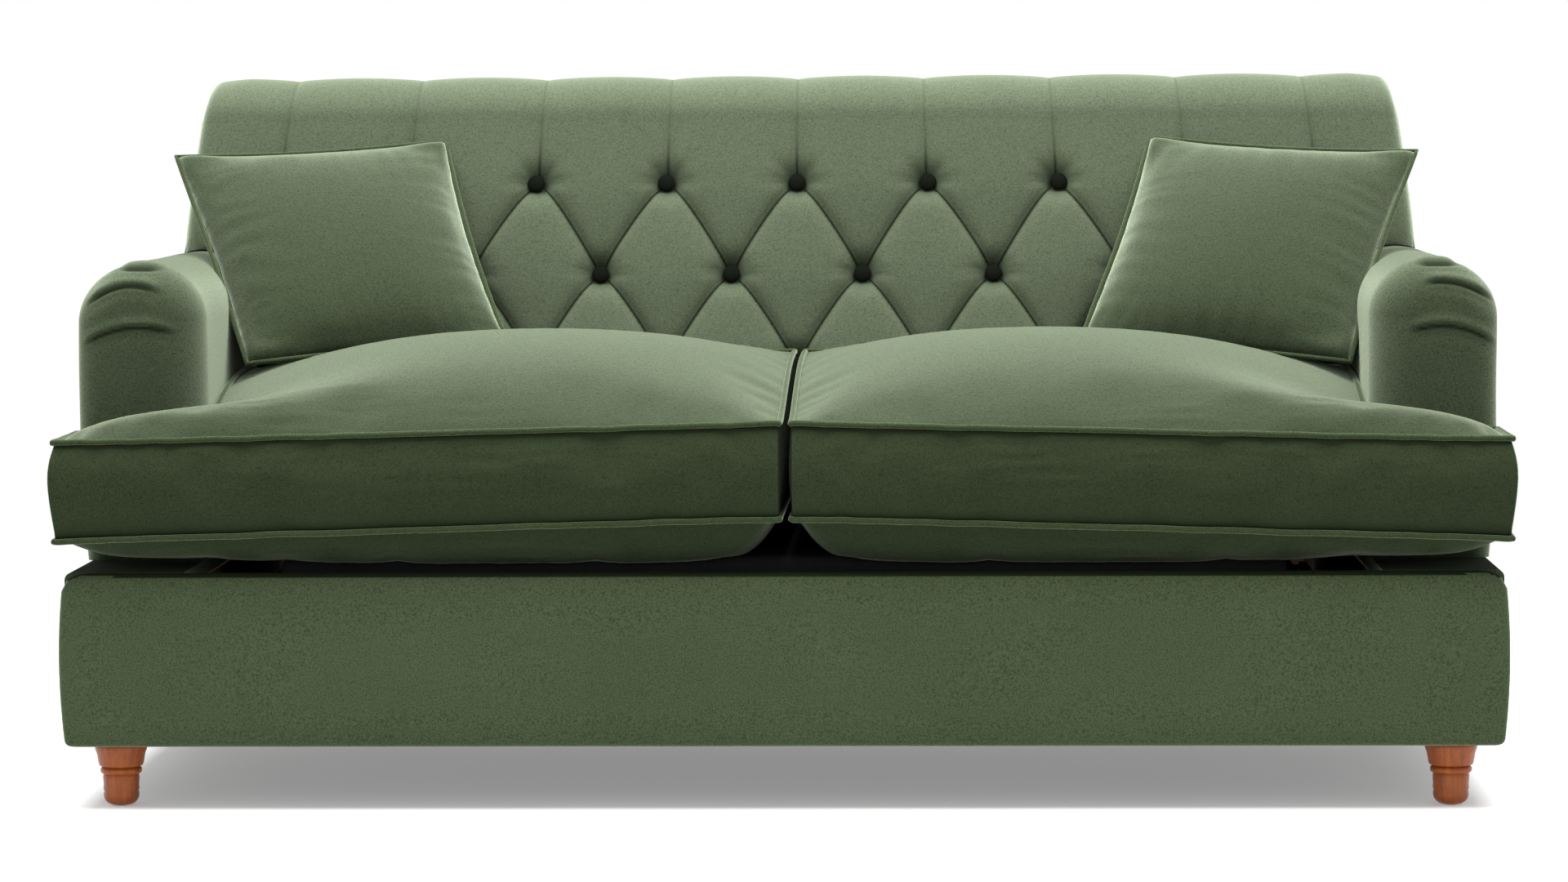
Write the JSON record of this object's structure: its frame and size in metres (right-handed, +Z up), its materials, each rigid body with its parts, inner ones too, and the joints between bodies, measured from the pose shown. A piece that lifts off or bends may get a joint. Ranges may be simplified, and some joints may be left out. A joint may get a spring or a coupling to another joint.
{
  "type": "sofa bed",
  "caption": "Sofa bed with roll arms, deep-buttoned back, T-shaped seat cushions, turned feet and a concertina fold-out bed.",
  "frame": {"origin": "on the floor under the middle of the sofa", "axes": "+X along the width, -Y to the front, +Z up"},
  "size_m": [1.9316, 1.0004, 0.9673],
  "materials": {
    "velvet": "short-pile sage velvet over padding",
    "cushion_velvet": "short-pile sage velvet, piped edges",
    "button_velvet": "velvet-covered button",
    "turned_wood": "red-brown stain, satin lacquer",
    "frame_timber": "bare sawn softwood",
    "bed_steel": "dark grey powder coat",
    "ticking": "off-white woven ticking over foam"
  },
  "bodies": {
    "root": {"front_rail": "frame_timber", "rear_rail": "frame_timber", "base_front_panel": "velvet", "outer_back": "velvet", "back_top_rail": "frame_timber", "back_lower_rail": "frame_timber", "back_pad": "velvet", "side_rail_left": "frame_timber", "bed_rail_left": "frame_timber", "base_side_panel_left": "velvet", "arm_frame_left": "frame_timber", "arm_pad_left": "velvet", "back_post_left": "frame_timber", "link_bracket_left": "bed_steel", "foot_front_left": "turned_wood", "foot_rear_left": "turned_wood", "side_rail_right": "frame_timber", "bed_rail_right": "frame_timber", "base_side_panel_right": "velvet", "arm_frame_right": "frame_timber", "arm_pad_right": "velvet", "back_post_right": "frame_timber", "link_bracket_right": "bed_steel", "foot_front_right": "turned_wood", "foot_rear_right": "turned_wood", "button_row1_1": "button_velvet", "button_row1_2": "button_velvet", "button_row1_3": "button_velvet", "button_row1_4": "button_velvet", "button_row1_5": "button_velvet", "button_row1_6": "button_velvet", "button_row1_7": "button_velvet", "button_row1_8": "button_velvet", "button_row1_9": "button_velvet", "button_row2_1": "button_velvet", "button_row2_2": "button_velvet", "button_row2_3": "button_velvet", "button_row2_4": "button_velvet", "button_row2_5": "button_velvet", "button_row2_6": "button_velvet", "button_row2_7": "button_velvet", "button_row2_8": "button_velvet"},
    "rear_links": {"link_rear_left": "bed_steel", "link_rear_right": "bed_steel"},
    "front_links": {"link_front_left": "bed_steel", "link_front_right": "bed_steel"},
    "section_a": {"bed_frame_a": "bed_steel", "mattress_a": "ticking"},
    "section_b": {"bed_frame_b": "bed_steel", "mattress_b": "ticking"},
    "section_c": {"bed_frame_c": "bed_steel", "mattress_c": "ticking"},
    "foot_legs": {"leg_foot_left": "bed_steel", "leg_foot_right": "bed_steel"},
    "middle_legs": {"leg_middle_left": "bed_steel", "leg_middle_right": "bed_steel"},
    "seat_left": {"seat_cushion_left": "cushion_velvet"},
    "seat_right": {"seat_cushion_right": "cushion_velvet"},
    "scatter_left": {"scatter_cushion_left": "cushion_velvet"},
    "scatter_right": {"scatter_cushion_right": "cushion_velvet"}
  },
  "joints": [
    {"name": "bed_unfold", "type": "hinge", "parent": "root", "child": "rear_links", "pos_m": [0, 0.1, 0.2275], "axis": [1, 0, 0], "range_deg": [0, 180]},
    {"name": "front_link_turn", "type": "hinge", "parent": "root", "child": "front_links", "pos_m": [0, -0.3, 0.2275], "axis": [1, 0, 0], "range_deg": [0, 180]},
    {"name": "section_a_level", "type": "hinge", "parent": "rear_links", "child": "section_a", "pos_m": [0, 0.15, 0.105], "axis": [1, 0, 0], "range_deg": [-180, 0]},
    {"name": "middle_fold", "type": "hinge", "parent": "section_a", "child": "section_b", "pos_m": [0, -0.409, 0.1735], "axis": [1, 0, 0], "range_deg": [0, 180]},
    {"name": "foot_fold", "type": "hinge", "parent": "section_b", "child": "section_c", "pos_m": [0, 0.199, 0.2525], "axis": [1, 0, 0], "range_deg": [-180, 0]},
    {"name": "foot_leg_swing", "type": "hinge", "parent": "section_c", "child": "foot_legs", "pos_m": [0, -0.381, 0.263], "axis": [1, 0, 0], "range_deg": [-90, 0]},
    {"name": "middle_leg_swing", "type": "hinge", "parent": "section_c", "child": "middle_legs", "pos_m": [0, 0.171, 0.263], "axis": [1, 0, 0], "range_deg": [0, 90]},
    {"name": "seat_left_lift", "type": "slide", "parent": "section_c", "child": "seat_left", "axis": [0, 0, 1], "range_m": [0, 0.4]},
    {"name": "seat_right_lift", "type": "slide", "parent": "section_c", "child": "seat_right", "axis": [0, 0, 1], "range_m": [0, 0.4]},
    {"name": "scatter_left_lift", "type": "slide", "parent": "seat_left", "child": "scatter_left", "axis": [0, 0, 1], "range_m": [0, 0.4]},
    {"name": "scatter_right_lift", "type": "slide", "parent": "seat_right", "child": "scatter_right", "axis": [0, 0, 1], "range_m": [0, 0.4]}
  ],
  "couplings": [
    {"joint": "front_link_turn", "follows": "bed_unfold", "ratio": 1},
    {"joint": "section_a_level", "follows": "bed_unfold", "ratio": -1},
    {"joint": "middle_fold", "follows": "bed_unfold", "ratio": 1},
    {"joint": "foot_fold", "follows": "bed_unfold", "ratio": -1},
    {"joint": "foot_leg_swing", "follows": "bed_unfold", "ratio": -0.5},
    {"joint": "middle_leg_swing", "follows": "bed_unfold", "ratio": 0.5}
  ]
}
